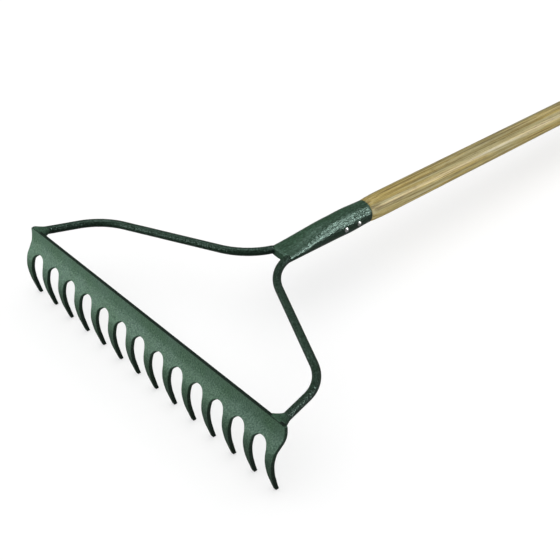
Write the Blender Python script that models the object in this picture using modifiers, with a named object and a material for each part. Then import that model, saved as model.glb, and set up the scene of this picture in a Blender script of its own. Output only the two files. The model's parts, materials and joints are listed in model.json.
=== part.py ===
"""Bow rake: a forged tine bar held by two bent rods, a pressed socket and an ash handle.

The rake is laid out on its handle's axis, which is the Y axis of an empty called rake_frame:
the bar is near y = 0 with its tines down, X runs along the bar, and the hand end is far along +Y.
The empty then lays the whole rake down, so that the tine tips and the hand end rest on z = 0.
All lengths are in metres.
"""
import math

import bmesh
import bpy
from mathutils import Matrix, Vector

CLEARANCE = 0.0003  # air between two pieces that touch or are welded

# Tine bar
TINE_COUNT = 14
TINE_PITCH = 0.028
BAR_TOP_Z = 0.0066
TIP_Z = -0.0685
SLOT_TOP_Z = -0.0157
SLOT_HALF_WIDTH = 0.00915
SLOT_ARC_HEIGHT = 0.0085
SLOT_ARC_STEPS = 8
# front line of the bar's section, from its top edge down to a tine's tip, as (y, z)
FRONT_LINE = (
    (0.0047, 0.0066),
    (0.0049, -0.0012),
    (0.0037, -0.0090),
    (0.0000, -0.0158),
    (-0.0039, -0.0227),
    (-0.0059, -0.0342),
    (-0.0044, -0.0479),
    (-0.0014, -0.0590),
    (0.0022, -0.0700),
)
# steel thickness down the same line, as (z, thickness)
THICKNESS = ((0.0066, 0.0031), (-0.0090, 0.0037), (-0.0227, 0.0041), (-0.0550, 0.0040), (-0.0685, 0.0033))
# half width of a tine, and of the outer side of an end tine, as (z, half width)
TINE_HALF_WIDTH = ((-0.0242, 0.00485), (-0.0420, 0.0038), (-0.0590, 0.0024), (-0.0685, 0.0019))
END_HALF_WIDTH = ((0.0045, 0.0090), (-0.0040, 0.0086), (-0.0110, 0.0074), (-0.0176, 0.0060), (-0.0242, 0.0052))
TOP_EDGE_ROUND = 0.0007

# Bow rods: corners of the centre line on the +X side, with the radius of each bend
ROD_RADIUS = 0.00405
ROD_START = (0.1814, 0.0080, 0.00205)
ROD_OUTER_BEND = (0.1628, 0.0716, -0.0028)
ROD_INNER_BEND = (0.0084, 0.1436, 0.0010)
ROD_END = (0.0084, 0.1880, -0.0026)
OUTER_BEND_RADIUS = 0.0544
INNER_BEND_RADIUS = 0.0608
BEND_STEPS = 12
TANG_RADIUS = 0.0018  # a rod's end is drawn down to this inside the socket
NECK_START_Y = 0.1580
NECK_END_Y = 0.1660

# Bead between a rod and the back of the bar
BEAD_LENGTH = 0.0150
BEAD_CENTRE_X = 0.1790
BEAD_CENTRE_Z = 0.0016
BEAD_HALF_WIDTH = 0.0112
BEAD_HALF_HEIGHT = 0.0046
BEAD_RIM = 0.0004

# Socket
SOCKET_NOSE_Y = 0.1660
SOCKET_ROUND_Y = 0.2320
SOCKET_SWELL_Y = 0.2520
SOCKET_REAR_Y = 0.2790
SOCKET_WALL = 0.0012
NOSE_HALF_WIDTH = 0.0147
NOSE_HALF_HEIGHT = 0.0053
NOSE_DROP = 0.0016
NOSE_SQUARENESS = 2.6
ROUND_RADIUS = 0.0125
SWELL_RADIUS = 0.0129
REAR_RADIUS = 0.0120

# Weld round the two rods, in front of the socket's nose
NOSE_WELD_FRONT_Y = 0.1630

# Handle: turned profile as (y, radius), from the tip inside the socket to the hand end
HANDLE_TIP_Y = 0.2120
HANDLE_LENGTH = 1.5240
HANDLE_END_Y = HANDLE_TIP_Y + HANDLE_LENGTH
SHOULDER_RADIUS = 0.0130
HAND_END_RADIUS = 0.0116
HAND_END_ROUND = 0.0050

# Rivets
RIVET_YS = (0.2420, 0.2595)
RIVET_SHANK_RADIUS = 0.0019
RIVET_HEAD_RADIUS = 0.0031
RIVET_HEAD_HEIGHT = 0.0014
RIVET_SPAN = 0.0129 + CLEARANCE  # from the handle's axis to the underside of a head

# The rake lies with its tips and its hand end on the ground, so the handle slopes by this angle
REST_SLOPE = math.atan2(-HAND_END_RADIUS - TIP_Z, HANDLE_END_Y - HAND_END_ROUND)


def clear_scene():
    for old in list(bpy.data.objects):
        bpy.data.objects.remove(old, do_unlink=True)


def make_collection(name):
    collection = bpy.data.collections.new(name)
    bpy.context.scene.collection.children.link(collection)
    return collection


def make_material(name, colour, roughness, metallic):
    material = bpy.data.materials.new(name)
    material.use_nodes = True
    shader = material.node_tree.nodes["Principled BSDF"]
    shader.inputs["Base Color"].default_value = (*colour, 1.0)
    shader.inputs["Roughness"].default_value = roughness
    shader.inputs["Metallic"].default_value = metallic
    return material


def place(obj, collection, parent):
    """Puts an object in a collection, in the rake's own frame."""
    for old in list(obj.users_collection):
        old.objects.unlink(obj)
    collection.objects.link(obj)
    obj.parent = parent


def as_cutter(obj):
    obj.hide_render = True
    obj.display_type = "WIRE"


def shade(obj, angle=math.radians(35)):
    obj.data.shade_smooth()
    obj.data.set_sharp_from_angle(angle=angle)


def mesh_object(name, bm):
    mesh = bpy.data.meshes.new(name)
    bmesh.ops.recalc_face_normals(bm, faces=bm.faces)
    bm.to_mesh(mesh)
    bm.free()
    return bpy.data.objects.new(name, mesh)


def curve_to_mesh(curve_object):
    """Replaces a curve object with a closed mesh of the same shape and place."""
    bpy.context.scene.collection.objects.link(curve_object)
    depsgraph = bpy.context.evaluated_depsgraph_get()
    mesh = bpy.data.meshes.new_from_object(curve_object.evaluated_get(depsgraph))
    bm = bmesh.new()
    bm.from_mesh(mesh)
    bmesh.ops.remove_doubles(bm, verts=bm.verts, dist=0.000001)
    bmesh.ops.recalc_face_normals(bm, faces=bm.faces)
    bm.to_mesh(mesh)
    bm.free()
    name = curve_object.name
    matrix = curve_object.matrix_world.copy()
    bpy.data.objects.remove(curve_object, do_unlink=True)
    solid = bpy.data.objects.new(name, mesh)
    solid.matrix_world = matrix
    return solid


def extruded_outline(name, points, depth, rotation, location=(0.0, 0.0, 0.0)):
    """A flat outline with a thickness, made from a filled 2D curve."""
    curve = bpy.data.curves.new(name, "CURVE")
    curve.dimensions = "2D"
    curve.fill_mode = "BOTH"
    curve.extrude = depth / 2
    spline = curve.splines.new("POLY")
    spline.points.add(len(points) - 1)
    for point, (x, y) in zip(spline.points, points):
        point.co = (x, y, 0.0, 1.0)
    spline.use_cyclic_u = True
    obj = bpy.data.objects.new(name, curve)
    obj.matrix_world = Matrix.LocRotScale(Vector(location), rotation, None)
    return curve_to_mesh(obj)


def apply_transform(obj):
    obj.data.transform(obj.matrix_world)
    obj.matrix_world = Matrix.Identity(4)


def add_boolean(obj, cutter, operation):
    modifier = obj.modifiers.new(operation.lower(), "BOOLEAN")
    modifier.operation = operation
    modifier.solver = "EXACT"
    modifier.object = cutter


def between(table, at):
    """Reads a table of (position, value) pairs, in falling order of position, at one position."""
    for (high, value_high), (low, value_low) in zip(table, table[1:]):
        if at >= low:
            share = min(1.0, (high - at) / (high - low))
            return value_high + (value_low - value_high) * share
    return table[-1][1]


def ease(share):
    share = min(1.0, max(0.0, share))
    return share * share * (3.0 - 2.0 * share)


def smooth_line(points, steps):
    """A Catmull-Rom line through the points, with this many steps between each two."""
    ends = [2 * Vector(points[0]) - Vector(points[1]), 2 * Vector(points[-1]) - Vector(points[-2])]
    padded = [ends[0], *map(Vector, points), ends[1]]
    line = []
    for before, start, stop, after in zip(padded, padded[1:], padded[2:], padded[3:]):
        for step in range(steps):
            t = step / steps
            line.append(
                0.5
                * (
                    2 * start
                    + (stop - before) * t
                    + (2 * before - 5 * start + 4 * stop - after) * t**2
                    + (3 * start - before - 3 * stop + after) * t**3
                )
            )
    line.append(Vector(points[-1]))
    return line


def ground_z(y):
    """Height of the ground in the rake's frame, under a point y along the handle."""
    return TIP_Z + y * math.tan(REST_SLOPE)


def cut_at_ground(line):
    """Ends a section line where it meets the ground."""
    kept = [line[0]]
    for above, below in zip(line, line[1:]):
        gap_above = above.y - ground_z(above.x)
        gap_below = below.y - ground_z(below.x)
        if gap_below <= 0.0:
            kept.append(above.lerp(below, gap_above / (gap_above - gap_below)))
            break
        kept.append(below)
    return kept


def bar_section():
    """Outline of the bar and its tines seen from the side, as (y, z) points."""
    front = smooth_line(FRONT_LINE, 2)
    back = []
    for index, point in enumerate(front):
        ahead = front[min(index + 1, len(front) - 1)]
        behind = front[max(index - 1, 0)]
        along = (ahead - behind).normalized()
        back.append(point + Vector((-along.y, along.x)) * between(THICKNESS, point.y))
    front = cut_at_ground(front)
    back = cut_at_ground(back)
    top = BAR_TOP_Z
    front[0] = Vector((front[0].x, top - TOP_EDGE_ROUND))
    back[0] = Vector((back[0].x, top - TOP_EDGE_ROUND))
    edge = [Vector((back[0].x - TOP_EDGE_ROUND, top)), Vector((front[0].x + TOP_EDGE_ROUND, top))]
    return front + back[::-1] + edge


def bar_front_outline():
    """Outline of the bar and its tines seen from the front, as (x, z) points."""
    last = (TINE_COUNT - 1) / 2 * TINE_PITCH
    below = TIP_Z - 0.004
    tine_side = [*TINE_HALF_WIDTH, (below, TINE_HALF_WIDTH[-1][1])]
    end_side = [(BAR_TOP_Z + 0.002, END_HALF_WIDTH[0][1] - 0.002), *END_HALF_WIDTH, *tine_side[1:]]
    points = [(last + width, z) for z, width in end_side]
    for slot in range(TINE_COUNT - 1, 0, -1):
        right_tine = (slot - (TINE_COUNT - 1) / 2) * TINE_PITCH
        left_tine = right_tine - TINE_PITCH
        points += [(right_tine - width, z) for z, width in reversed(tine_side)]
        middle = (left_tine + right_tine) / 2
        for step in range(1, SLOT_ARC_STEPS):
            angle = math.pi * step / SLOT_ARC_STEPS
            rise = SLOT_TOP_Z - SLOT_ARC_HEIGHT + SLOT_ARC_HEIGHT * math.sin(angle)
            points.append((middle + SLOT_HALF_WIDTH * math.cos(angle), rise))
        points += [(left_tine + width, z) for z, width in tine_side]
    points += [(-last - width, z) for z, width in reversed(end_side)]
    return points


def make_tine_bar(parts, cutters, frame, material):
    """The bar's side section run across its full width, cut to its front outline."""
    width = TINE_COUNT * TINE_PITCH
    to_side = Matrix.Rotation(math.radians(90), 3, "Z") @ Matrix.Rotation(math.radians(90), 3, "X")
    to_front = Matrix.Rotation(math.radians(90), 3, "X")
    section = [tuple(point) for point in bar_section()]
    bar = extruded_outline("tine_bar", section, width, to_side.to_quaternion())
    comb = extruded_outline("bar_front_outline", bar_front_outline(), 0.05, to_front.to_quaternion())
    apply_transform(bar)
    apply_transform(comb)
    place(bar, parts, frame)
    place(comb, cutters, frame)
    as_cutter(comb)
    add_boolean(bar, comb, "INTERSECT")
    bar.data.materials.append(material)
    return bar


def bar_back_y():
    """How far back the bar reaches beside the rods' ends."""
    near_rods = BEAD_CENTRE_Z - BEAD_HALF_HEIGHT - 0.001
    return max(point.x for point in bar_section() if point.y > near_rods)


def bend(before, corner, after, radius, steps):
    """Points along the arc that rounds a corner of a path."""
    to_before = (before - corner).normalized()
    to_after = (after - corner).normalized()
    half_angle = to_before.angle(to_after) / 2
    centre = corner + (to_before + to_after).normalized() * (radius / math.sin(half_angle))
    spoke = corner + to_before * (radius / math.tan(half_angle)) - centre
    axis = to_after.cross(to_before)
    sweep = math.pi - 2 * half_angle
    return [centre + Matrix.Rotation(sweep * step / steps, 3, axis) @ spoke for step in range(steps + 1)]


def rod_path(side):
    """Centre line of one rod, from the bar to its end inside the socket. side is -1 or 1."""
    start, outer, inner, end = (
        Vector((side * x, y, z)) for x, y, z in (ROD_START, ROD_OUTER_BEND, ROD_INNER_BEND, ROD_END)
    )
    lead_in = start + (start - outer).normalized() * 0.006
    first = bend(start, outer, inner, OUTER_BEND_RADIUS, BEND_STEPS)
    second = bend(outer, inner, end, INNER_BEND_RADIUS, BEND_STEPS)
    return [lead_in, *first, *second, end]


def rod_radius(y):
    """A rod's radius, which eases down to its tang just before the socket."""
    return ROD_RADIUS + (TANG_RADIUS - ROD_RADIUS) * ease((y - NECK_START_Y) / (NECK_END_Y - NECK_START_Y))


def rod_curve(name, side, margin=0.0):
    """One rod as a curve whose skin stands out by a margin."""
    curve = bpy.data.curves.new(name, "CURVE")
    curve.dimensions = "3D"
    curve.bevel_depth = 1.0
    curve.bevel_resolution = 4
    curve.use_fill_caps = True
    path = rod_path(side)
    spline = curve.splines.new("POLY")
    spline.points.add(len(path) - 1)
    for point, co in zip(spline.points, path):
        point.co = (*co, 1.0)
        point.radius = rod_radius(co.y) + margin
    return bpy.data.objects.new(name, curve)


def cut_flat(obj, plane_y):
    """Takes away everything in front of plane_y and closes the cut."""
    bm = bmesh.new()
    bm.from_mesh(obj.data)
    bmesh.ops.bisect_plane(
        bm,
        geom=[*bm.verts, *bm.edges, *bm.faces],
        plane_co=(0.0, plane_y, 0.0),
        plane_no=(0.0, 1.0, 0.0),
        clear_inner=True,
    )
    rim = [edge for edge in bm.edges if edge.is_boundary]
    bmesh.ops.edgeloop_fill(bm, edges=rim)
    bmesh.ops.recalc_face_normals(bm, faces=bm.faces)
    bm.to_mesh(obj.data)
    bm.free()


def make_bow_rod(side, parts, frame, material):
    name = "bow_rod_left" if side < 0 else "bow_rod_right"
    rod = curve_to_mesh(rod_curve(name, side))
    cut_flat(rod, bar_back_y() + CLEARANCE)
    place(rod, parts, frame)
    rod.data.materials.append(material)
    shade(rod)
    return rod


def oval(angle, half_width, half_height, squareness):
    """A point of a superellipse, which is an ellipse at squareness 2."""
    c, s = math.cos(angle), math.sin(angle)
    size = (abs(c / half_width) ** squareness + abs(s / half_height) ** squareness) ** (-1.0 / squareness)
    return c * size, s * size


def bridge(bm, ring_a, ring_b):
    count = len(ring_a)
    for index in range(count):
        following = (index + 1) % count
        bm.faces.new((ring_a[index], ring_a[following], ring_b[following], ring_b[index]))


def make_bead(side, parts, frame, material):
    """The weld bead that fairs a rod into the back of the bar: an oval base that narrows to a rim."""
    base_y = bar_back_y() + CLEARANCE
    start = Vector((side * ROD_START[0], ROD_START[1], ROD_START[2]))
    toward = Vector((side * ROD_OUTER_BEND[0], ROD_OUTER_BEND[1], ROD_OUTER_BEND[2]))
    along = (toward - start).normalized()
    root = start + along * (base_y - start.y) / along.y
    across = Vector((0.0, 0.0, 1.0)).cross(along).normalized() * -1.0
    up = along.cross(across).normalized()
    if up.z < 0.0:
        up = -up
    base_centre = Vector((side * BEAD_CENTRE_X, base_y, BEAD_CENTRE_Z))
    sides = 20
    bands = 4
    hole = ROD_RADIUS + CLEARANCE
    bm = bmesh.new()
    outer = [[] for _ in range(bands + 1)]
    inner = [[], []]
    for index in range(sides):
        angle = 2 * math.pi * index / sides
        spoke = across * math.cos(angle) + up * math.sin(angle)
        x, z = oval(angle, BEAD_HALF_WIDTH, BEAD_HALF_HEIGHT, 2.6)
        foot = base_centre + Vector((x, 0.0, z))
        flare = foot - (root + spoke * (hole + BEAD_RIM))
        for band in range(bands + 1):
            share = band / bands
            on_rod = root + along * BEAD_LENGTH * share + spoke * (hole + BEAD_RIM)
            outer[band].append(bm.verts.new(on_rod + flare * (1.0 - share) ** 2.5))
        edge = root + spoke * hole
        inner[0].append(bm.verts.new(edge + along * (base_y - edge.y) / along.y))
        inner[1].append(bm.verts.new(root + along * BEAD_LENGTH + spoke * hole))
    for low, high in zip(outer, outer[1:]):
        bridge(bm, low, high)
    bridge(bm, outer[-1], inner[1])
    bridge(bm, inner[1], inner[0])
    bridge(bm, inner[0], outer[0])
    bead = mesh_object("weld_left" if side < 0 else "weld_right", bm)
    place(bead, parts, frame)
    bead.data.materials.append(material)
    shade(bead)
    return bead


def socket_section(y):
    """Half width, half height, centre height and squareness of the socket's outside at y."""
    share = ease((y - SOCKET_NOSE_Y) / (SOCKET_ROUND_Y - SOCKET_NOSE_Y))
    swell = ease((y - SOCKET_ROUND_Y) / (SOCKET_SWELL_Y - SOCKET_ROUND_Y))
    crimp = ease((y - SOCKET_SWELL_Y) / (SOCKET_REAR_Y - SOCKET_SWELL_Y))
    radius = ROUND_RADIUS + (SWELL_RADIUS - ROUND_RADIUS) * swell + (REAR_RADIUS - SWELL_RADIUS) * crimp
    half_width = NOSE_HALF_WIDTH + (radius - NOSE_HALF_WIDTH) * share
    half_height = NOSE_HALF_HEIGHT + (radius - NOSE_HALF_HEIGHT) * share
    squareness = NOSE_SQUARENESS + (2.0 - NOSE_SQUARENESS) * share
    return half_width, half_height, -NOSE_DROP * (1.0 - share), squareness


def make_socket(parts, frame, rivet_holes, material):
    """A tube pressed flat at its nose, lofted as an open skin and thickened inwards."""
    sides = 28
    stations = 12
    bm = bmesh.new()
    rings = []
    for station in range(stations + 1):
        y = SOCKET_NOSE_Y + (SOCKET_REAR_Y - SOCKET_NOSE_Y) * station / stations
        half_width, half_height, centre_z, squareness = socket_section(y)
        ring = []
        for index in range(sides):
            x, z = oval(2 * math.pi * (index + 0.5) / sides, half_width, half_height, squareness)
            ring.append(bm.verts.new((x, y, centre_z + z)))
        rings.append(ring)
    for low, high in zip(rings, rings[1:]):
        bridge(bm, low, high)
    socket = mesh_object("socket", bm)
    if socket.data.polygons[0].normal.dot(socket.data.polygons[0].center - Vector((0, SOCKET_NOSE_Y, 0))) < 0:
        socket.data.flip_normals()
    place(socket, parts, frame)
    wall = socket.modifiers.new("wall", "SOLIDIFY")
    wall.thickness = SOCKET_WALL
    wall.offset = -1.0
    wall.use_even_offset = True
    for hole in rivet_holes:
        add_boolean(socket, hole, "DIFFERENCE")
    socket.data.materials.append(material)
    shade(socket)
    return socket


def make_nose_weld(parts, cutters, frame, material):
    """A collar of weld that closes the socket's mouth round the two rods."""
    depth = SOCKET_NOSE_Y - CLEARANCE - NOSE_WELD_FRONT_Y
    centre_y = NOSE_WELD_FRONT_Y + depth / 2
    outline = []
    sides = 24
    for index in range(sides):
        x, z = oval(2 * math.pi * index / sides, NOSE_HALF_WIDTH, NOSE_HALF_HEIGHT, NOSE_SQUARENESS)
        outline.append((x, z - NOSE_DROP))
    to_front = Matrix.Rotation(math.radians(90), 3, "X").to_quaternion()
    weld = extruded_outline("nose_weld", outline, depth, to_front, (0.0, centre_y, 0.0))
    apply_transform(weld)
    place(weld, parts, frame)
    for side in (-1, 1):
        sleeve = curve_to_mesh(rod_curve(f"rod_sleeve_{side}", side, CLEARANCE))
        place(sleeve, cutters, frame)
        as_cutter(sleeve)
        add_boolean(weld, sleeve, "DIFFERENCE")
    weld.data.materials.append(material)
    shade(weld)
    return weld


def turned(name, profile, steps):
    """A solid turned about its own Z axis from (radius, z) points listed from the top down."""
    mesh = bpy.data.meshes.new(name)
    points = [(radius, 0.0, z) for radius, z in profile]
    mesh.from_pydata(points, [(i, i + 1) for i in range(len(points) - 1)], [])
    obj = bpy.data.objects.new(name, mesh)
    screw = obj.modifiers.new("turn", "SCREW")
    screw.axis = "Z"
    screw.steps = steps
    screw.render_steps = steps
    screw.use_merge_vertices = True
    screw.merge_threshold = 0.00001
    screw.use_smooth_shade = True
    return obj


def handle_profile():
    """The handle as (radius, distance along it), from the hand end down to its tip."""
    points = []
    for step in range(5):
        angle = math.radians(90 - 90 * step / 4)
        flat = HAND_END_RADIUS - HAND_END_ROUND
        radius = flat + HAND_END_ROUND * math.cos(angle)
        points.append((radius, HANDLE_END_Y - HAND_END_ROUND + HAND_END_ROUND * math.sin(angle)))
    points += [
        (0.0119, 1.2000),
        (0.0124, 0.6500),
        (SHOULDER_RADIUS, 0.3060),
        (0.0129, 0.2960),
        (0.0125, 0.2860),
        (0.0119, SOCKET_REAR_Y + CLEARANCE),
        (0.0104, SOCKET_REAR_Y),
        (0.0104, SOCKET_REAR_Y - 0.0040),
        (0.0112, SOCKET_SWELL_Y),
        (0.0109, SOCKET_ROUND_Y),
        (0.0084, HANDLE_TIP_Y + 0.0030),
        (0.0062, HANDLE_TIP_Y),
    ]
    return [(0.0, HANDLE_END_Y), *points, (0.0, HANDLE_TIP_Y)]


def make_handle(parts, frame, rivet_holes, material):
    handle = turned("handle", handle_profile(), 28)
    place(handle, parts, frame)
    handle.rotation_euler = (math.radians(-90), 0.0, 0.0)
    for hole in rivet_holes:
        add_boolean(handle, hole, "DIFFERENCE")
    handle.data.materials.append(material)
    return handle


def rivet_profile():
    """A shank with a domed head at each end, as (radius, z) points from the top down."""
    dome = []
    for step in range(4):
        angle = math.radians(90 - 90 * step / 4)
        radius = RIVET_HEAD_RADIUS * math.cos(angle)
        dome.append((radius, RIVET_SPAN + RIVET_HEAD_HEIGHT * math.sin(angle)))
    half = [*dome, (RIVET_HEAD_RADIUS, RIVET_SPAN), (RIVET_SHANK_RADIUS, RIVET_SPAN)]
    return half + [(radius, -z) for radius, z in reversed(half)]


def lie_across(obj, y):
    """Turns an object made along Z so that it lies across the handle at y."""
    obj.location = (0.0, y, 0.0)
    obj.rotation_euler = (0.0, math.radians(90), 0.0)


def make_rivet(name, y, parts, frame, material):
    rivet = turned(name, rivet_profile(), 16)
    place(rivet, parts, frame)
    lie_across(rivet, y)
    rivet.data.materials.append(material)
    return rivet


def make_rivet_holes(cutters, frame):
    """One drill for each rivet, through the socket and the handle."""
    holes = []
    for index, y in enumerate(RIVET_YS):
        bpy.ops.mesh.primitive_cylinder_add(vertices=16, radius=RIVET_SHANK_RADIUS + CLEARANCE, depth=0.05)
        hole = bpy.context.object
        hole.name = f"rivet_hole_{index + 1}"
        place(hole, cutters, frame)
        lie_across(hole, y)
        as_cutter(hole)
        holes.append(hole)
    return holes


def make_frame():
    """The empty that lays the rake on the ground, with the middle of its length over the origin."""
    frame = bpy.data.objects.new("rake_frame", None)
    bpy.context.scene.collection.objects.link(frame)
    slope_sin, slope_cos = math.sin(REST_SLOPE), math.cos(REST_SLOPE)
    front = min(point.x * slope_cos + point.y * slope_sin for point in bar_section())
    rear = HANDLE_END_Y * slope_cos + (HAND_END_RADIUS - HAND_END_ROUND) * slope_sin
    frame.location = (0.0, -(front + rear) / 2, -TIP_Z * slope_cos)
    frame.rotation_euler = (-REST_SLOPE, 0.0, 0.0)
    return frame


def main():
    clear_scene()
    parts = make_collection("bow_rake")
    cutters = make_collection("cutters")
    frame = make_frame()
    green_steel = make_material("green_steel", (0.045, 0.105, 0.075), 0.38, 0.3)
    green_rod = make_material("green_rod", (0.030, 0.070, 0.050), 0.38, 0.3)
    green_weld = make_material("green_weld", (0.038, 0.088, 0.062), 0.45, 0.3)
    green_socket = make_material("green_socket", (0.040, 0.098, 0.070), 0.36, 0.3)
    ash_wood = make_material("ash_wood", (0.50, 0.40, 0.23), 0.42, 0.0)
    rivet_steel = make_material("rivet_steel", (0.70, 0.71, 0.70), 0.30, 1.0)

    rivet_holes = make_rivet_holes(cutters, frame)
    make_tine_bar(parts, cutters, frame, green_steel)
    for side in (-1, 1):
        make_bow_rod(side, parts, frame, green_rod)
        make_bead(side, parts, frame, green_weld)
    make_socket(parts, frame, rivet_holes, green_socket)
    make_nose_weld(parts, cutters, frame, green_weld)
    make_handle(parts, frame, rivet_holes, ash_wood)
    for name, y in zip(("rivet_front", "rivet_rear"), RIVET_YS):
        make_rivet(name, y, parts, frame, rivet_steel)


main()
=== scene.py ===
"""Looks of the bow rake: fine meshes and painted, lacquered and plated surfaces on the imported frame.

Every piece is modelled in the rake's own frame, whose Y axis is the handle's axis, whose X axis
runs along the tine bar and whose Z axis points away from the tines. All lengths are in metres.
"""
import json
import math

import bmesh
import bpy
import numpy as np
from mathutils import Matrix, Vector


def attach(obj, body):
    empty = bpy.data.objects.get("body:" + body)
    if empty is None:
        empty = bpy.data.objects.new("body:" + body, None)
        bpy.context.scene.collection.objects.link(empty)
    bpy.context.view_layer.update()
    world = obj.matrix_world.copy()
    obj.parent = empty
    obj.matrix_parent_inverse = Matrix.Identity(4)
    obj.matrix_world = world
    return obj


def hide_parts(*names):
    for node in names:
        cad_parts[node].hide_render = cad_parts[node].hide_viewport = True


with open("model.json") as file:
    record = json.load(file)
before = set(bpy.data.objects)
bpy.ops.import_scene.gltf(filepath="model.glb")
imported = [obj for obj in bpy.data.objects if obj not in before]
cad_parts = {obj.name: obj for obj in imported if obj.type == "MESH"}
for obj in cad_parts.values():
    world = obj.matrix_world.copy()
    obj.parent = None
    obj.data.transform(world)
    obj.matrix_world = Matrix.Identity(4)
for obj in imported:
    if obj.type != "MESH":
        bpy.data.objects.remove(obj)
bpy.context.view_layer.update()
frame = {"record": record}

MERGE = 0.00001  # vertices closer than this are one

# Tine bar, in the rake's frame
BAR_TOP_Z = 0.0066
TIP_Z = -0.0685
SLOT_TOP_Z = -0.0157
SLOT_HALF_WIDTH = 0.00915
SLOT_ARC_HEIGHT = 0.0085
SLOT_ARC_STEPS = 20
PLATE_THICKNESS = 0.0040  # of the flat blank, before it is bent to its section
EDGE_ROUND = 0.00065
CORNER_ROUND = 0.0030
CORNER_STEPS = 5
CORNER_REACH = 3  # steps down the side to the point that gives its direction at the corner
LEVEL_STEP = 0.0012  # height between two rows of vertices on the bent blank
SIDE_STEPS = 5  # between two points of a tine's side
SECTION_STEPS = 12  # between two points of the front line
TIP_ROUND = 0.0006
# rows that round the edge of a tine's cut tip, as (inset, drop) in shares of TIP_ROUND
TIP_ROWS = ((0.25, 0.60), (0.45, 0.40))
# front line of the bar's section, from its top edge down to a tine's tip, as (y, z)
FRONT_LINE = (
    (0.0047, 0.0066),
    (0.0049, -0.0012),
    (0.0037, -0.0090),
    (0.0000, -0.0158),
    (-0.0039, -0.0227),
    (-0.0059, -0.0342),
    (-0.0044, -0.0479),
    (-0.0014, -0.0590),
    (0.0022, -0.0700),
    (0.0062, -0.0800),
)
# steel thickness down the same line, as (z, thickness)
THICKNESS = ((0.0066, 0.0031), (-0.0090, 0.0037), (-0.0227, 0.0041), (-0.0550, 0.0040), (-0.0685, 0.0033))
# half width of a tine, and of the outer side of an end tine, as (z, half width)
TINE_HALF_WIDTH = ((-0.0242, 0.00485), (-0.0420, 0.0038), (-0.0590, 0.0024), (-0.0740, 0.0018))
END_HALF_WIDTH = (
    (0.0066, 0.0082),
    (0.0036, 0.0082),
    (-0.0040, 0.0081),
    (-0.0110, 0.0073),
    (-0.0176, 0.0060),
    (-0.0242, 0.0052),
)
# the end's outline leans this far to the right at the bar's top, and not at all at the tine's root
END_LEAN = {-1: 0.0024, 1: 0.0008}

# Bow rods: corners of the centre line on the +X side, with the radius of each bend
ROD_RADIUS = 0.00405
ROD_START = Vector((0.1814, 0.0080, 0.00205))
ROD_OUTER_BEND = Vector((0.1628, 0.0716, -0.0028))
ROD_INNER_BEND = Vector((0.0084, 0.1436, 0.0010))
ROD_END = Vector((0.0084, 0.1880, -0.0026))
OUTER_BEND_RADIUS = 0.0544
INNER_BEND_RADIUS = 0.0608
BEND_STEPS = 28
ROD_SIDES = 40
TANG_RADIUS = 0.0024  # of the end inside the socket
NECK_START_Y = 0.1655
NECK_END_Y = 0.1720

# Weld that fairs a rod into the back of the bar
BAR_BACK_Y = 0.0083
ROD_SINK = 0.0012  # how deep a rod's end goes into the bar
BEAD_SINK = 0.0032  # and its weld
BEAD_LENGTH = 0.0110
BEAD_REACH = {-1: (0.1700, 0.1879), 1: (0.1700, 0.1872)}  # from |x| to |x|, at -X and at +X
BEAD_CENTRE_Z = 0.0019
BEAD_HALF_HEIGHT = 0.0050
BEAD_SQUARENESS = 3.4
BEAD_FLARE = 1.25  # 1 is a straight taper from its foot to the rod, more is hollow
BEAD_SKIN = 0.0003  # how far it stands over the rod at the bar, and lies under it at its other end
BEAD_BANDS = 18
BEAD_SIDES = 48

# Socket
SOCKET_NOSE_Y = 0.1660
SOCKET_ROUND_Y = 0.2320
SOCKET_SWELL_Y = 0.2520
SOCKET_REAR_Y = 0.2790
SOCKET_WALL = 0.0012
SOCKET_SIDES = 72
SOCKET_STATIONS = 64
NOSE_HALF_WIDTH = 0.0143
NOSE_HALF_HEIGHT = 0.0053
NOSE_DROP = 0.0016
NOSE_SQUARENESS = 2.6
ROUND_RADIUS = 0.0125
SWELL_RADIUS = 0.0129
REAR_RADIUS = 0.0120

# Weld in the socket's mouth, round the two rods, with its rings as (y, inset from the nose's outline)
NOSE_WELD_RINGS = ((0.1646, 0.0010), (SOCKET_NOSE_Y, 0.0003), (SOCKET_NOSE_Y + 0.0040, 0.0006))
WELD_VOXEL = 0.0004
WELD_SOFTENING = 10  # rounds of smoothing

# Handle, with its turned profile as (y, radius) from its tip in the socket, before the hand end's round
HANDLE_END_Y = 1.7360
HAND_END_RADIUS = 0.0116
HAND_END_ROUND = 0.0050
HAND_END_STEPS = 10
HANDLE_SIDES = 72
HANDLE_PROFILE = (
    (0.2120, 0.0062),
    (0.2150, 0.0084),
    (0.2320, 0.0108),
    (0.2520, 0.0111),
    (0.2750, 0.0103),
    (0.2788, 0.0103),
    (0.2794, 0.0113),
    (0.2803, 0.01195),
    (0.2860, 0.0125),
    (0.2960, 0.0129),
    (0.3060, 0.0130),
    (0.6500, 0.0124),
    (1.2000, 0.0119),
)

# Rivets
RIVET_YS = {"rivet_front": 0.2420, "rivet_rear": 0.2595}
RIVET_SHANK_RADIUS = 0.0019
RIVET_HEAD_RADIUS = 0.0026
RIVET_HEAD_HEIGHT = 0.0013
RIVET_EDGE_SHARE = 0.96  # of the head's radius, at its sunk edge
RIVET_SEAT = 0.0132  # from the handle's axis to where the dome starts
RIVET_SINK = 0.0016  # of the head's edge below its seat
RIVET_SIDES = 32
DOME_STEPS = 8
DOME_SWEEP = 86  # degrees, which leaves a small flat on top

# Camera, in the rake's frame
CAMERA_PLACE = Vector((0.7376, -0.4783, 0.6914))
CAMERA_AZIMUTH = math.radians(48.863)
CAMERA_ELEVATION = math.radians(36.449)
CAMERA_ROLL = math.radians(0.132)
CAMERA_LENS = 80.02

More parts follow.
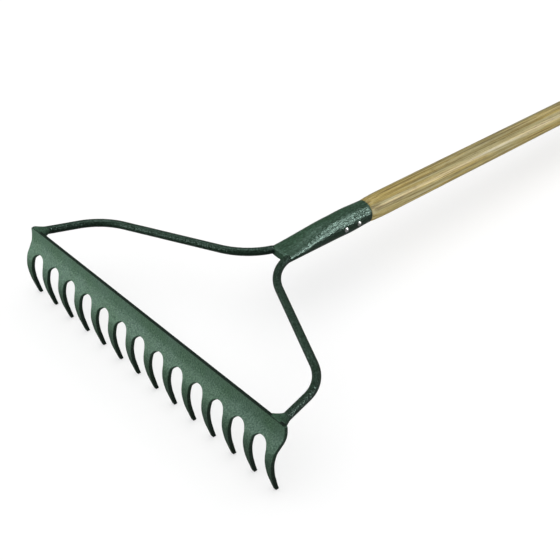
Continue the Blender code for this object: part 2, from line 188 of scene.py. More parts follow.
# Floor and its even light
FLOOR_SIZE = 14.0
FLOOR_GAP = 0.0004  # below the tine tips
FLOOR_SHADED = 0.50  # strength of the floor's light that casts shadows
FLOOR_UNSHADED = 2.6  # and of the one that casts none
FLOOR_SKY_ANGLE = math.radians(100.0)  # across the light, so that a shadow has no edge
WORLD_STRENGTH = 0.16
WHITE = (1.0, 1.0, 1.0, 1.0)


def rake_matrix():
    """Places the rake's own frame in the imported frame, from the faces that the record names."""
    mounts = {mount["name"]: mount for mount in frame["record"]["mounts"]}
    along = Vector(mounts["hand_end"]["axis"]).normalized()
    up = Vector(mounts["levelling_edge"]["axis"]).normalized()
    matrix = Matrix((along.cross(up), along, up)).transposed().to_4x4()
    matrix.translation = Vector(mounts["hand_end"]["pos_m"]) - along * HANDLE_END_Y
    return matrix


def light_group(name):
    """A collection that a light can be linked to."""
    group = bpy.data.collections.new(name)
    bpy.context.scene.collection.children.link(group)
    return group


RAKE = rake_matrix()
PIECES = light_group("rake_pieces")
METAL = light_group("rake_metal")
WOOD = light_group("rake_wood")
STUDIO = light_group("studio_floor")


# ---------------------------------------------------------------- mesh helpers


def finish_piece(obj, node, slot, material):
    """Puts a piece, made in the rake's frame, on the body, in place of its CAD node."""
    obj.matrix_world = RAKE
    obj.data.materials.append(material)
    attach(obj, "root")
    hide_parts(node)
    group = WOOD if slot == "ash_wood" else METAL
    group.objects.link(obj)


def mesh_object(name, bm, sharp_angle=40.0):
    """Turns a bmesh into a smooth shaded object."""
    bmesh.ops.remove_doubles(bm, verts=bm.verts, dist=MERGE)
    bmesh.ops.recalc_face_normals(bm, faces=bm.faces)
    mesh = bpy.data.meshes.new(name)
    bm.to_mesh(mesh)
    bm.free()
    mesh.shade_smooth()
    mesh.set_sharp_from_angle(angle=math.radians(sharp_angle))
    obj = bpy.data.objects.new(name, mesh)
    PIECES.objects.link(obj)
    return obj


def bridge(bm, ring_a, ring_b):
    """Joins two rings of as many vertices with a band of faces."""
    count = len(ring_a)
    for index in range(count):
        following = (index + 1) % count
        bm.faces.new((ring_a[index], ring_a[following], ring_b[following], ring_b[index]))


def loft(bm, rings, closed=False):
    """Skins rings of points in turn. The ends are capped, or joined to each other if closed."""
    made = [[bm.verts.new(point) for point in ring] for ring in rings]
    for low, high in zip(made, made[1:]):
        bridge(bm, low, high)
    if closed:
        bridge(bm, made[-1], made[0])
    else:
        bm.faces.new(made[0])
        bm.faces.new(made[-1])


def round_angles(sides):
    """Angles that share a full turn evenly."""
    return [2 * math.pi * step / sides for step in range(sides)]


def ease(share):
    """Goes smoothly from 0 to 1 as the share does, and stays level outside that."""
    share = min(1.0, max(0.0, share))
    return share * share * (3.0 - 2.0 * share)


def smooth_line(points, steps):
    """A Catmull-Rom line through the points, with this many steps between each two."""
    padded = [2 * points[0] - points[1], *points, 2 * points[-1] - points[-2]]
    line = []
    for before, start, stop, after in zip(padded, padded[1:], padded[2:], padded[3:]):
        for step in range(steps):
            t = step / steps
            linear = (stop - before) * t
            square = (2 * before - 5 * start + 4 * stop - after) * t**2
            cube = (3 * start - before - 3 * stop + after) * t**3
            line.append(0.5 * (2 * start + linear + square + cube))
    line.append(points[-1])
    return line


def oval(angle, half_width, half_height, squareness):
    """A point of a superellipse, which is an ellipse at squareness 2."""
    c, s = math.cos(angle), math.sin(angle)
    size = (abs(c / half_width) ** squareness + abs(s / half_height) ** squareness) ** (-1.0 / squareness)
    return c * size, s * size


# ---------------------------------------------------------------- tine bar


def tine_places():
    """The x of each tine's middle, from the gaps that the record states between them."""
    gaps = [box["box_m"] for box in frame["record"]["physics"]["openings"] if "tine_gap" in box["name"]]
    middles = sorted((low[0] + high[0]) / 2 for low, high in gaps)
    pitch = (middles[-1] - middles[0]) / (len(middles) - 1)
    return [middles[0] - pitch / 2 + pitch * index for index in range(len(middles) + 1)]


def bend(before, corner, after, radius, steps):
    """Points along the arc that rounds a corner of a path."""
    to_before = (before - corner).normalized()
    to_after = (after - corner).normalized()
    half_angle = to_before.angle(to_after) / 2
    centre = corner + (to_before + to_after).normalized() * (radius / math.sin(half_angle))
    spoke = corner + to_before * (radius / math.tan(half_angle)) - centre
    axis = to_after.cross(to_before)
    sweep = math.pi - 2 * half_angle
    return [centre + Matrix.Rotation(sweep * step / steps, 3, axis) @ spoke for step in range(steps + 1)]


def smooth_side(table):
    """The (half width, z) points of one side of a tine, rounded between the points of its table."""
    return smooth_line([Vector((width, z)) for z, width in table], SIDE_STEPS)


def rounded_end_side(end):
    """The outer side of the end tine at -X (end is -1) or +X (1), with its top corner rounded off."""
    root_z = END_HALF_WIDTH[-1][0]
    height = BAR_TOP_Z - root_z
    lean = [(z, width + end * END_LEAN[end] * ease((z - root_z) / height)) for z, width in END_HALF_WIDTH]
    side = smooth_side([*lean, *TINE_HALF_WIDTH[1:]])
    along_top = Vector((0.0, BAR_TOP_Z, 0.0))
    corner = bend(along_top, side[0].to_3d(), side[CORNER_REACH].to_3d(), CORNER_ROUND, CORNER_STEPS)
    return [point.to_2d() for point in corner] + [point for point in side if point.y < corner[-1].y - MERGE]


def comb_outline():
    """Outline of the flat blank as (x, z) points, against the clock from its top right corner."""
    tines = tine_places()
    tine_side = smooth_side(TINE_HALF_WIDTH)
    points = [(tines[-1] + p.x, p.y) for p in rounded_end_side(1)]
    for left, right in reversed(list(zip(tines, tines[1:]))):
        points += [(right - p.x, p.y) for p in reversed(tine_side)]
        middle = (left + right) / 2
        for step in range(1, SLOT_ARC_STEPS):
            angle = math.pi * step / SLOT_ARC_STEPS
            rise = SLOT_TOP_Z - SLOT_ARC_HEIGHT + SLOT_ARC_HEIGHT * math.sin(angle)
            points.append((middle + SLOT_HALF_WIDTH * math.cos(angle), rise))
        points += [(left + p.x, p.y) for p in tine_side]
    points += [(tines[0] - p.x, p.y) for p in reversed(rounded_end_side(-1))]
    return points


def flat_blank():
    """The comb as a flat plate in its own XY plane, with rounded edges."""
    curve = bpy.data.curves.new("blank", "CURVE")
    curve.dimensions = "2D"
    curve.fill_mode = "BOTH"
    curve.extrude = PLATE_THICKNESS / 2 - EDGE_ROUND
    curve.bevel_depth = EDGE_ROUND
    curve.bevel_resolution = 3
    curve.offset = -EDGE_ROUND
    points = comb_outline()
    spline = curve.splines.new("POLY")
    spline.points.add(len(points) - 1)
    for point, (x, z) in zip(spline.points, points):
        point.co = (x, z, 0.0, 1.0)
    spline.use_cyclic_u = True
    holder = bpy.data.objects.new("blank", curve)
    bpy.context.scene.collection.objects.link(holder)
    graph = bpy.context.evaluated_depsgraph_get()
    mesh = bpy.data.meshes.new_from_object(holder.evaluated_get(graph))
    bpy.data.objects.remove(holder)
    bpy.data.curves.remove(curve)
    return mesh


def flat_normal(vert):
    """The way a flat blank's skin faces at a vertex, with its faces truly flat and its edges round."""
    into_edge = (abs(vert.co.z) - PLATE_THICKNESS / 2 + EDGE_ROUND) / EDGE_ROUND
    facing = math.copysign(min(1.0, max(0.0, into_edge)), vert.co.z)
    sideways = Vector((vert.normal.x, vert.normal.y))
    if sideways.length > 0.0:
        sideways.normalize()
    sideways *= math.sqrt(1.0 - facing**2)
    return Vector((sideways.x, sideways.y, facing))


def bend_to_section(bm, shade):
    """Moves a flat blank's vertices, and turns their normals, to the bar's curved side section."""
    line = smooth_line([Vector(point) for point in FRONT_LINE], SECTION_STEPS)
    heights = np.array([point.y for point in line])[::-1]
    fronts = np.array([point.x for point in line])[::-1]
    slopes = np.gradient(fronts, heights)
    levels, thicknesses = zip(*sorted(THICKNESS))
    bm.normal_update()
    for vert in bm.verts:
        x, z, depth = vert.co
        slope = np.interp(z, heights, slopes)
        inward = Vector((0.0, 1.0, -slope)).normalized()
        upward = Vector((0.0, slope, 1.0)).normalized()
        facing = flat_normal(vert)
        vert[shade] = Vector((facing.x, 0.0, 0.0)) + upward * facing.y + inward * facing.z
        reach = np.interp(z, levels, thicknesses) * (depth / PLATE_THICKNESS + 0.5)
        vert.co = Vector((x, np.interp(z, heights, fronts), z)) + inward * reach


def cut_tips(bm):
    """Cuts the tines level with the ground and rounds the edge of each cut."""
    to_rake = RAKE.inverted()
    point = to_rake @ Vector((0.0, RAKE.translation.y, TIP_ROUND))
    normal = to_rake.to_3x3() @ Vector((0.0, 0.0, 1.0))
    geometry = [*bm.verts, *bm.edges, *bm.faces]
    bmesh.ops.bisect_plane(bm, geom=geometry, plane_co=point, plane_no=normal, clear_inner=True)
    rim = [edge for edge in bm.edges if edge.is_boundary]
    cuts = bmesh.ops.edgeloop_fill(bm, edges=rim)["faces"]
    for inset, drop in TIP_ROWS:
        bmesh.ops.recalc_face_normals(bm, faces=bm.faces)
        bmesh.ops.inset_region(bm, faces=cuts, thickness=inset * TIP_ROUND, depth=drop * TIP_ROUND)


def set_normals(obj, shade_name):
    """Shades a bar by the stored normals, and its cut tips by their own."""
    mesh = obj.data
    stored = mesh.attributes[shade_name].data
    tip_height = TIP_ROUND * 1.5
    normals = []
    for vert in mesh.vertices:
        if (RAKE @ vert.co).z < tip_height:
            normals.append(vert.normal.copy())
        else:
            normals.append(Vector(stored[vert.index].vector).normalized())
    mesh.normals_split_custom_set_from_vertices(normals)


def make_tine_bar(material):
    bm = bmesh.new()
    bm.from_mesh(flat_blank())
    bmesh.ops.remove_doubles(bm, verts=bm.verts, dist=MERGE)
    shade = bm.verts.layers.float_vector.new("bent_normal")
    level = BAR_TOP_Z - LEVEL_STEP
    while level > TIP_Z - LEVEL_STEP:
        geometry = [*bm.verts, *bm.edges, *bm.faces]
        bmesh.ops.bisect_plane(bm, geom=geometry, plane_co=(0.0, level, 0.0), plane_no=(0.0, 1.0, 0.0))
        level -= LEVEL_STEP
    bend_to_section(bm, shade)
    cut_tips(bm)
    bar = mesh_object("rake_tine_bar", bm, sharp_angle=180.0)
    set_normals(bar, "bent_normal")
    finish_piece(bar, "tine_bar", "green_coating", material)


# ---------------------------------------------------------------- bow rods and their welds


def mirrored(point, side):
    return Vector((side * point.x, point.y, point.z))


def rod_root(side):
    """Where a rod's centre line meets the back of the bar, and its direction there."""
    start, outer = mirrored(ROD_START, side), mirrored(ROD_OUTER_BEND, side)
    along = (outer - start).normalized()
    return start + along * (BAR_BACK_Y - start.y) / along.y, along


def rod_path(side):
    """Centre line of one rod, from inside the bar to its end inside the socket."""
    corners = [mirrored(point, side) for point in (ROD_START, ROD_OUTER_BEND, ROD_INNER_BEND, ROD_END)]
    root, along = rod_root(side)
    first = bend(*corners[:3], OUTER_BEND_RADIUS, BEND_STEPS)
    second = bend(*corners[1:], INNER_BEND_RADIUS, BEND_STEPS)
    return [root - along * ROD_SINK, root + along * BEAD_LENGTH, *first, *second, corners[3]]


def rod_radius(y):
    """A rod's radius, which eases down to its tang just before the socket."""
    return ROD_RADIUS + (TANG_RADIUS - ROD_RADIUS) * ease((y - NECK_START_Y) / (NECK_END_Y - NECK_START_Y))


def tube_rings(path, sides):
    """Rings of points round a rod's path, which stays close to level."""
    rings = []
    for index, centre in enumerate(path):
        ahead = path[min(index + 1, len(path) - 1)]
        behind = path[max(index - 1, 0)]
        along = (ahead - behind).normalized()
        across = along.cross(Vector((0.0, 0.0, 1.0))).normalized()
        up = across.cross(along)
        radius = rod_radius(centre.y)
        spokes = [across * math.cos(angle) + up * math.sin(angle) for angle in round_angles(sides)]
        rings.append([centre + spoke * radius for spoke in spokes])
    return rings


def make_rod(side, name, node, material):
    bm = bmesh.new()
    loft(bm, tube_rings(rod_path(side), ROD_SIDES))
    finish_piece(mesh_object(name, bm), node, "green_coating", material)


def make_bead(side, name, node, material):
    """The weld that fairs a rod into the bar: an oval foot that narrows and runs out on the rod."""
    root, along = rod_root(side)
    across = along.cross(Vector((0.0, 0.0, 1.0))).normalized()
    up = across.cross(along)
    inner, outer = BEAD_REACH[side]
    foot_centre = Vector((side * (inner + outer) / 2, BAR_BACK_Y, BEAD_CENTRE_Z))
    turn = math.copysign(1.0, across.x)
    rings = [[] for _ in range(BEAD_BANDS + 1)]
    buried = []
    for angle in round_angles(BEAD_SIDES):
        spoke = across * math.cos(angle) + up * math.sin(angle)
        x, z = oval(angle, (outer - inner) / 2, BEAD_HALF_HEIGHT, BEAD_SQUARENESS)
        foot = foot_centre + Vector((turn * x, 0.0, z))
        flare = foot - (root + spoke * ROD_RADIUS)
        buried.append(foot - Vector((0.0, BEAD_SINK, 0.0)))
        for band, ring in enumerate(rings):
            share = band / BEAD_BANDS
            radius = ROD_RADIUS + BEAD_SKIN * (1.0 - 2.0 * share)
            on_rod = root + along * BEAD_LENGTH * share + spoke * radius
            ring.append(on_rod + flare * (1.0 - share) ** BEAD_FLARE)
    bm = bmesh.new()
    loft(bm, [buried, *rings])
    bead = mesh_object(name, bm, sharp_angle=60.0)
    finish_piece(bead, node, "green_coating", material)


# ---------------------------------------------------------------- socket and its weld


def socket_section(y):
    """Half width, half height, centre height and squareness of the socket's outside at y."""
    share = ease((y - SOCKET_NOSE_Y) / (SOCKET_ROUND_Y - SOCKET_NOSE_Y))
    swell = ease((y - SOCKET_ROUND_Y) / (SOCKET_SWELL_Y - SOCKET_ROUND_Y))
    crimp = ease((y - SOCKET_SWELL_Y) / (SOCKET_REAR_Y - SOCKET_SWELL_Y))
    radius = ROUND_RADIUS + (SWELL_RADIUS - ROUND_RADIUS) * swell + (REAR_RADIUS - SWELL_RADIUS) * crimp
    half_width = NOSE_HALF_WIDTH + (radius - NOSE_HALF_WIDTH) * share
    half_height = NOSE_HALF_HEIGHT + (radius - NOSE_HALF_HEIGHT) * share
    squareness = NOSE_SQUARENESS + (2.0 - NOSE_SQUARENESS) * share
    return half_width, half_height, -NOSE_DROP * (1.0 - share), squareness


def oval_ring(y, section, inset):
    """Points round one of the socket's sections, this far inside its outline."""
    half_width, half_height, centre_z, squareness = section
    ring = []
    for angle in round_angles(SOCKET_SIDES):
        x, z = oval(angle, half_width - inset, half_height - inset, squareness)
        ring.append(Vector((x, y, centre_z + z)))
    return ring


def socket_ring(y, inset):
    return oval_ring(y, socket_section(y), inset)


def make_socket(material):
    """A pressed tube: its outside, a rounded lip at each end and its inside, as one closed skin."""
    lip = SOCKET_WALL / 2
    first, last = SOCKET_NOSE_Y + lip, SOCKET_REAR_Y - lip
    stations = [first + (last - first) * step / SOCKET_STATIONS for step in range(SOCKET_STATIONS + 1)]
    lip_angles = [math.radians(angle) for angle in (30, 60, 90, 120, 150)]
    rings = [socket_ring(y, 0.0) for y in stations]
    rings += [socket_ring(last + lip * math.sin(a), lip - lip * math.cos(a)) for a in lip_angles]
    rings += [socket_ring(y, SOCKET_WALL) for y in reversed(stations)]
    rings += [socket_ring(first - lip * math.sin(a), lip + lip * math.cos(a)) for a in lip_angles]
    bm = bmesh.new()
    loft(bm, rings, closed=True)
    finish_piece(mesh_object("rake_socket", bm), "socket", "green_coating", material)


def make_nose_weld(material):
    """Weld metal that fills the socket's mouth round both rods."""
    nose = socket_section(SOCKET_NOSE_Y)
    bm = bmesh.new()
    loft(bm, [oval_ring(y, nose, inset) for y, inset in NOSE_WELD_RINGS])
    weld = mesh_object("rake_nose_weld", bm)
    fuse = weld.modifiers.new("fuse", "REMESH")
    fuse.mode = "VOXEL"
    fuse.voxel_size = WELD_VOXEL
    fuse.use_smooth_shade = True
    soften = weld.modifiers.new("soften", "SMOOTH")
    soften.factor = 0.5
    soften.iterations = WELD_SOFTENING
    finish_piece(weld, "nose_weld", "green_coating", material)


# ---------------------------------------------------------------- handle and rivets


def turned_rings(profile, sides):
    """Rings about the Y axis from (y, radius) points."""
    angles = round_angles(sides)
    return [[Vector((r * math.cos(a), y, r * math.sin(a))) for a in angles] for y, r in profile]


def make_handle(material):
    """The turned pole, with the edge of its hand end rounded off."""
    flat = HAND_END_RADIUS - HAND_END_ROUND
    profile = list(HANDLE_PROFILE)
    for step in range(HAND_END_STEPS + 1):
        angle = math.radians(90 * step / HAND_END_STEPS)
        y = HANDLE_END_Y - HAND_END_ROUND + HAND_END_ROUND * math.sin(angle)
        profile.append((y, flat + HAND_END_ROUND * math.cos(angle)))
    bm = bmesh.new()
    loft(bm, turned_rings(profile, HANDLE_SIDES))
    handle = mesh_object("rake_handle", bm, sharp_angle=35.0)
    finish_piece(handle, "handle", "ash_wood", material)


def make_rivet(node, y, material):
    """A shank with a peened dome at each end, lying across the handle."""
    sunk = RIVET_SEAT - RIVET_SINK
    half = [(0.0, RIVET_SHANK_RADIUS), (sunk, RIVET_SHANK_RADIUS)]
    half += [(sunk, RIVET_HEAD_RADIUS * RIVET_EDGE_SHARE), (RIVET_SEAT, RIVET_HEAD_RADIUS)]
    for step in range(1, DOME_STEPS + 1):
        angle = math.radians(DOME_SWEEP * step / DOME_STEPS)
        half.append((RIVET_SEAT + RIVET_HEAD_HEIGHT * math.sin(angle), RIVET_HEAD_RADIUS * math.cos(angle)))
    profile = [(-x, r) for x, r in reversed(half[1:])] + half
    bm = bmesh.new()
    loft(bm, turned_rings(profile, RIVET_SIDES))
    bmesh.ops.transform(bm, matrix=Matrix.Rotation(math.radians(-90), 4, "Z"), verts=bm.verts)
    bmesh.ops.translate(bm, vec=(0.0, y, 0.0), verts=bm.verts)
    finish_piece(mesh_object("rake_" + node, bm), node, "rivet_steel", material)


# ---------------------------------------------------------------- materials


class Nodes:
    """A short way to add and join the nodes of one material."""

    def __init__(self, name):
        self.material = bpy.data.materials.new(name)
        self.material.use_nodes = True
        self.tree = self.material.node_tree
        self.shader = self.tree.nodes["Principled BSDF"]

    def add(self, kind, settings=None, **inputs):
        node = self.tree.nodes.new(kind)
        for key, value in (settings or {}).items():
            setattr(node, key, value)
        for key, value in inputs.items():
            self.plug(node.inputs[key.replace("_", " ")], value)
        return node

    def plug(self, socket, value):
        if isinstance(value, bpy.types.NodeSocket):
            self.tree.links.new(value, socket)
        else:
            socket.default_value = value

    def ramp(self, factor, stops):
        """A colour ramp through (position, colour) stops."""
        node = self.add("ShaderNodeValToRGB", Fac=factor)
        elements = node.color_ramp.elements
        while len(elements) < len(stops):
            elements.new(0.5)
        for element, (position, colour) in zip(elements, stops):
            element.position = position
            element.color = (*colour, 1.0)
        return node.outputs["Color"]

    def range(self, value, low, high, to_low, to_high):
        """A value between low and high, moved in step to between to_low and to_high."""
        node = self.add("ShaderNodeMapRange", Value=value)
        for key, number in (("From Min", low), ("From Max", high), ("To Min", to_low), ("To Max", to_high)):
            node.inputs[key].default_value = number
        return node.outputs["Result"]

    def multiply(self, first, second):
        """The product of two colours."""
        node = self.add("ShaderNodeMix", {"data_type": "RGBA", "blend_type": "MULTIPLY"})
        for socket, value in ((0, 1.0), (6, first), (7, second)):  # its factor and its two colours
            self.plug(node.inputs[socket], value)
        return node.outputs[2]

    def math(self, operation, first, second=0.0):
        node = self.add("ShaderNodeMath", {"operation": operation})
        self.plug(node.inputs[0], first)
        self.plug(node.inputs[1], second)
        return node.outputs[0]

    def noise(self, coordinates, scale, detail=2.0, roughness=0.5):
        node = self.add("ShaderNodeTexNoise", Vector=coordinates, Scale=scale, Detail=detail)
        node.inputs["Roughness"].default_value = roughness
        return node.outputs["Fac"]

    def place(self):
        """Points in the piece's own axes, which are the rake's."""
        return self.add("ShaderNodeTexCoord").outputs["Object"]

    def by_height(self, place, stops):
        """A grey that follows the Z of a place through (z, share) stops, from low to high."""
        height = self.add("ShaderNodeSeparateXYZ", Vector=place).outputs["Z"]
        low, high = stops[0][0], stops[-1][0]
        share = self.range(height, low, high, 0.0, 1.0)
        return self.ramp(share, [((z - low) / (high - low), (grey, grey, grey)) for z, grey in stops])

    def stretched(self, coordinates, scale):
        return self.add("ShaderNodeMapping", Vector=coordinates, Scale=scale).outputs["Vector"]

    def surface(self, **inputs):
        """Sets the shader's own sockets."""
        for key, value in inputs.items():
            self.plug(self.shader.inputs[key.replace("_", " ")], value)

    def bump(self, height, strength, depth):
        """Roughens the surface by a height, which is depth metres for each 1 of it."""
        node = self.add("ShaderNodeBump", Height=height)
        node.inputs["Strength"].default_value = strength
        node.inputs["Distance"].default_value = depth
        self.surface(Normal=node.outputs["Normal"])


def hammered_enamel(name, greens, relief, shine, rough=0.26, drawn=1.0, painted_shade=()):
    """Green stove enamel with a hammered skin: dimples about 1.6 mm across with flecks in them.

    greens are its dark, middle and light tones, relief is the depth of the dimples in metres,
    shine the specular level and rough the roughness where the paint is glossiest. Dimples are
    longer along the rake's own Y axis where drawn is below 1. The last argument lists (height, share)
    stops up its Z axis that darken the paint with painted shade.
    """
    dimples, ripples, clouds = 620.0, 160.0, 38.0  # a metre
    dark, middle, light = greens
    nodes = Nodes(name)
    place = nodes.place()
    pattern = nodes.stretched(place, (1.0, drawn, 1.0))
    fleck = nodes.noise(pattern, dimples, 4.0, 0.70)
    cloud = nodes.noise(place, clouds, 2.0)
    colour = nodes.ramp(fleck, ((0.34, dark), (0.52, middle), (0.70, light)))
    tone = nodes.ramp(cloud, ((0.35, (0.80, 0.88, 0.76)), (0.65, (1.0, 1.0, 1.0))))
    colour = nodes.multiply(colour, tone)
    gloss = nodes.range(fleck, 0.3, 0.7, rough, rough + 0.14)
    # painted shade: the paint is darkened, and made rougher, by height up the piece's Z axis
    if painted_shade:
        shade_mask = nodes.by_height(place, painted_shade)
        colour = nodes.multiply(colour, shade_mask)
        gloss = nodes.math("ADD", gloss, nodes.range(shade_mask, 0.2, 1.0, 0.25, 0.0))
    nodes.surface(Base_Color=colour, Roughness=gloss)
    cells = nodes.add("ShaderNodeTexVoronoi", {"feature": "SMOOTH_F1"}, Vector=pattern, Scale=dimples)
    cells.inputs["Smoothness"].default_value = 0.6
    ripple = nodes.math("MULTIPLY", nodes.noise(pattern, ripples, 2.0), 0.8)
    nodes.bump(nodes.math("ADD", cells.outputs["Distance"], ripple), 1.0, relief)
    nodes.surface(Specular_IOR_Level=shine, Specular_Tint=(0.68, 1.0, 0.87, 1.0))
    return nodes.material


def growth_rings(nodes, place):
    """Waves about a pith that lies beside the handle and wanders along it."""
    pith_x, pith_z = -0.021, -0.012
    waves = 2300.0  # radians a metre, so the rings are 2.7 mm apart
    wander = nodes.noise(nodes.stretched(place, (14.0, 1.1, 14.0)), 1.0, 2.0)
    apart = nodes.add("ShaderNodeSeparateXYZ", Vector=place)
    off_x = nodes.math("ADD", apart.outputs["X"], -pith_x)
    off_z = nodes.math("ADD", apart.outputs["Z"], -pith_z)
    squares = nodes.math("ADD", nodes.math("POWER", off_x, 2.0), nodes.math("POWER", off_z, 2.0))
    reach = nodes.math("ADD", nodes.math("SQRT", squares), nodes.math("MULTIPLY", wander, 0.020))
    return nodes.math("SINE", nodes.math("MULTIPLY", reach, waves))


def ash_wood():
    """Lacquered ash: growth rings cut lengthwise, soft streaks and short dark pores."""
    nodes = Nodes("lacquered_ash")
    place = nodes.place()
    run_out = nodes.add("ShaderNodeMapping", Vector=place, Rotation=(0.012, 0.0, 0.020)).outputs["Vector"]
    rings = growth_rings(nodes, place)
    streak = nodes.noise(nodes.stretched(run_out, (980.0, 7.0, 980.0)), 1.0, 4.0, 0.55)
    grain = nodes.math("ADD", nodes.math("MULTIPLY", rings, 0.07), streak)
    pale, tan, brown = (0.60, 0.50, 0.24), (0.45, 0.355, 0.125), (0.25, 0.18, 0.065)
    colour = nodes.ramp(grain, ((0.34, brown), (0.49, tan), (0.64, pale)))
    weather = nodes.noise(nodes.stretched(run_out, (260.0, 6.0, 260.0)), 1.0, 3.0)
    greyed = nodes.ramp(weather, ((0.38, (0.76, 0.82, 1.0)), (0.60, (1.0, 0.97, 0.86))))
    pores = nodes.noise(nodes.stretched(place, (2400.0, 95.0, 2400.0)), 1.0, 2.0)
    pitted = nodes.ramp(pores, ((0.33, (0.62, 0.56, 0.48)), (0.44, (1.0, 1.0, 1.0))))
    nodes.surface(Base_Color=nodes.multiply(nodes.multiply(colour, pitted), greyed))
    nodes.surface(Roughness=nodes.range(grain, 0.3, 0.7, 0.60, 0.46))
    nodes.bump(nodes.math("ADD", grain, pores), 0.25, 0.0002)
    nodes.surface(Specular_IOR_Level=0.16, Coat_Weight=0.25, Coat_Roughness=0.30)
    return nodes.material


def zinc():
    """Bright plated steel with small dents from peening."""
    nodes = Nodes("zinc_plate")
    place = nodes.place()
    blotch = nodes.noise(place, 900.0, 3.0)
    colour = nodes.ramp(blotch, ((0.3, (0.64, 0.65, 0.64)), (0.7, (0.90, 0.91, 0.89))))
    nodes.surface(Base_Color=colour, Roughness=nodes.range(blotch, 0.3, 0.7, 0.22, 0.38), Metallic=1.0)
    nodes.bump(nodes.noise(place, 1300.0, 1.0), 0.3, 0.0002)
    return nodes.material


# ---------------------------------------------------------------- studio

# Soft boxes: name, place in the rake's frame, size, power, what they light, and whether they show
# in all of its surface, in its matt colour only or in its gloss only
SOFT_BOXES = (
    ("key_front_left", (-0.60, -0.80, 0.14), 0.95, 14.0, PIECES, "all"),
    ("top_fill", (-0.50, 0.30, 2.40), 1.60, 24.0, METAL, "all"),
    ("wood_top", (-0.50, 0.30, 2.40), 1.60, 12.5, WOOD, "all"),
    ("paint_right", (1.60, -0.10, 0.30), 1.20, 1.2, PIECES, "all"),
    ("back_fill", (-0.90, 2.40, 1.10), 1.60, 26.0, PIECES, "matt"),
    ("wood_right", (1.60, 0.20, 0.50), 1.20, 26.0, WOOD, "all"),
    ("streak_low", (1.62, 1.26, 0.36), 0.20, 20.0, METAL, "gloss"),
    ("streak_high", (0.80, 1.20, 1.16), 0.20, 12.0, METAL, "gloss"),
    ("wood_streak_near", (1.56, 1.75, 0.57), 0.50, 16.0, WOOD, "gloss"),
    ("wood_streak_far", (1.56, 2.35, 0.57), 0.50, 14.0, WOOD, "gloss"),
)
LIGHT_TARGET = Vector((0.0, 0.10, 0.0))


def make_camera():
    data = bpy.data.cameras.new("camera")
    data.lens = CAMERA_LENS
    data.sensor_width = 36.0
    data.clip_start = 0.05
    data.clip_end = 30.0
    camera = bpy.data.objects.new("camera", data)
    bpy.context.scene.collection.objects.link(camera)
    a, e = CAMERA_AZIMUTH, CAMERA_ELEVATION
    back = Vector((math.sin(a) * math.cos(e), -math.cos(a) * math.cos(e), math.sin(e)))
    turn = (-back).to_track_quat("-Z", "Y").to_matrix() @ Matrix.Rotation(CAMERA_ROLL, 3, "Z")
    camera.matrix_world = RAKE @ (Matrix.Translation(CAMERA_PLACE) @ turn.to_4x4())
    bpy.context.scene.camera = camera


def make_floor():
    """A pale floor that the camera sees, and that throws no light back on the dark paint."""
    bm = bmesh.new()
    bmesh.ops.create_grid(bm, x_segments=1, y_segments=1, size=FLOOR_SIZE / 2)
    mesh = bpy.data.meshes.new("studio_floor")
    bm.to_mesh(mesh)
    bm.free()
    floor = bpy.data.objects.new("studio_floor", mesh)
    floor.location.z = -FLOOR_GAP
    STUDIO.objects.link(floor)
    floor.visible_diffuse = False
    floor.visible_glossy = False
    nodes = Nodes("floor_paper")
    nodes.surface(Base_Color=(0.90, 0.90, 0.90, 1.0), Roughness=0.9)
    floor.data.materials.append(nodes.material)


def soft_light(name, place, size, power, receivers, shows_in):
    """A square soft box at a place in the rake's frame, which lights one collection only."""
    data = bpy.data.lights.new(name, "AREA")
    data.shape = "SQUARE"
    data.size = size
    data.energy = power
    light = bpy.data.objects.new(name, data)
    bpy.context.scene.collection.objects.link(light)
    from_target = Vector(place) - LIGHT_TARGET
    light.location = RAKE @ Vector(place)
    light.rotation_mode = "QUATERNION"
    light.rotation_quaternion = (RAKE.to_3x3() @ from_target).to_track_quat("Z", "Y")
    light.light_linking.receiver_collection = receivers
    light.visible_glossy = shows_in != "matt"
    light.visible_diffuse = shows_in != "gloss"


def sky_light(name, strength, shadows):
    """Wide, even light from overhead, on the floor alone."""
    data = bpy.data.lights.new(name, "SUN")
    data.energy = strength
    data.angle = FLOOR_SKY_ANGLE
    data.use_shadow = shadows
    light = bpy.data.objects.new(name, data)
    bpy.context.scene.collection.objects.link(light)
    light.light_linking.receiver_collection = STUDIO


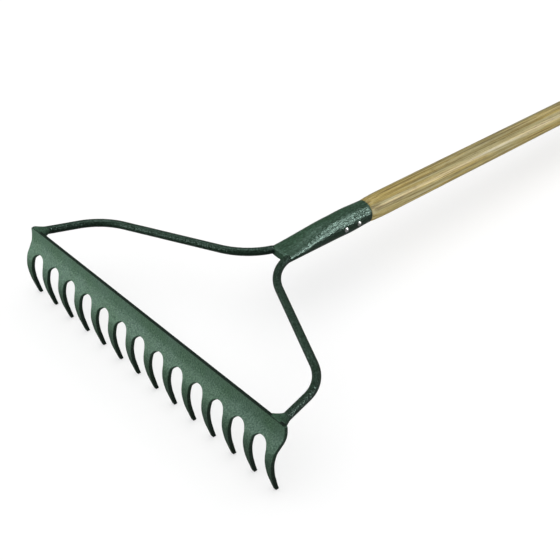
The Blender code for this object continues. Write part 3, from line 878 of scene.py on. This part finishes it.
def make_world():
    """A dim even light on the rake. In its place the camera sees plain white."""
    world = bpy.data.worlds.new("studio")
    world.use_nodes = True
    tree = world.node_tree
    dim = tree.nodes["Background"]
    dim.inputs["Color"].default_value = WHITE
    dim.inputs["Strength"].default_value = WORLD_STRENGTH
    backdrop = tree.nodes.new("ShaderNodeBackground")
    backdrop.inputs["Color"].default_value = WHITE
    seen = tree.nodes.new("ShaderNodeMixShader")
    tree.links.new(tree.nodes.new("ShaderNodeLightPath").outputs["Is Camera Ray"], seen.inputs[0])
    tree.links.new(dim.outputs[0], seen.inputs[1])
    tree.links.new(backdrop.outputs[0], seen.inputs[2])
    tree.links.new(seen.outputs[0], tree.nodes["World Output"].inputs["Surface"])
    bpy.context.scene.world = world
    bpy.context.scene.view_settings.view_transform = "Standard"


def make_lights():
    for box in SOFT_BOXES:
        soft_light(*box)
    sky_light("floor_sky", FLOOR_SHADED, shadows=True)
    sky_light("floor_glow", FLOOR_UNSHADED, shadows=False)


# ---------------------------------------------------------------- the whole rake

# green tones of the one enamel, from dark to light: the bar's, and darker copies of it on the welds, rods
# and socket as painted shade
BAR_GREENS = (0.048, 0.094, 0.066), (0.090, 0.162, 0.114), (0.160, 0.258, 0.198)
WELD_SHADED_GREENS = (0.024, 0.056, 0.036), (0.050, 0.104, 0.068), (0.105, 0.190, 0.140)
ROD_SHADED_GREENS = (0.006, 0.017, 0.008), (0.012, 0.031, 0.017), (0.042, 0.084, 0.058)
SOCKET_SHADED_GREENS = (0.014, 0.042, 0.019), (0.028, 0.072, 0.038), (0.075, 0.160, 0.110)
# painted shade: how much of the bar's colour is left at each height, darker down the tines and on the top
# edge
BAR_PAINTED_SHADE = ((-0.072, 0.18), (-0.055, 0.38), (-0.034, 0.62), (-0.020, 1.0), (0.0056, 1.0), (0.0064, 0.12))


def build():
    # the bar's paint carries painted shade by height
    bar_paint = hammered_enamel("enamel_bar", BAR_GREENS, relief=0.00042, shine=0.11, painted_shade=BAR_PAINTED_SHADE)
    # painted shade: the welds, rods and socket take darker copies of the bar's enamel
    weld_shaded_paint = hammered_enamel("enamel_weld_shaded", WELD_SHADED_GREENS, relief=0.0005, shine=0.17)
    rod_shaded_paint = hammered_enamel("enamel_rod_shaded", ROD_SHADED_GREENS, relief=0.0005, shine=0.46, rough=0.24)
    socket_shaded_paint = hammered_enamel(
        "enamel_socket_shaded", SOCKET_SHADED_GREENS, relief=0.00031, shine=0.60, rough=0.27, drawn=0.55
    )
    make_tine_bar(bar_paint)
    for side, word in ((-1, "left"), (1, "right")):
        make_rod(side, "rake_bow_rod_" + word, "bow_rod_" + word, rod_shaded_paint)
        make_bead(side, "rake_weld_" + word, "weld_" + word, weld_shaded_paint)
    make_socket(socket_shaded_paint)
    make_nose_weld(socket_shaded_paint)
    make_handle(ash_wood())
    plate = zinc()
    for node, y in RIVET_YS.items():
        make_rivet(node, y, plate)


build()
make_camera()
make_floor()
make_world()
make_lights()
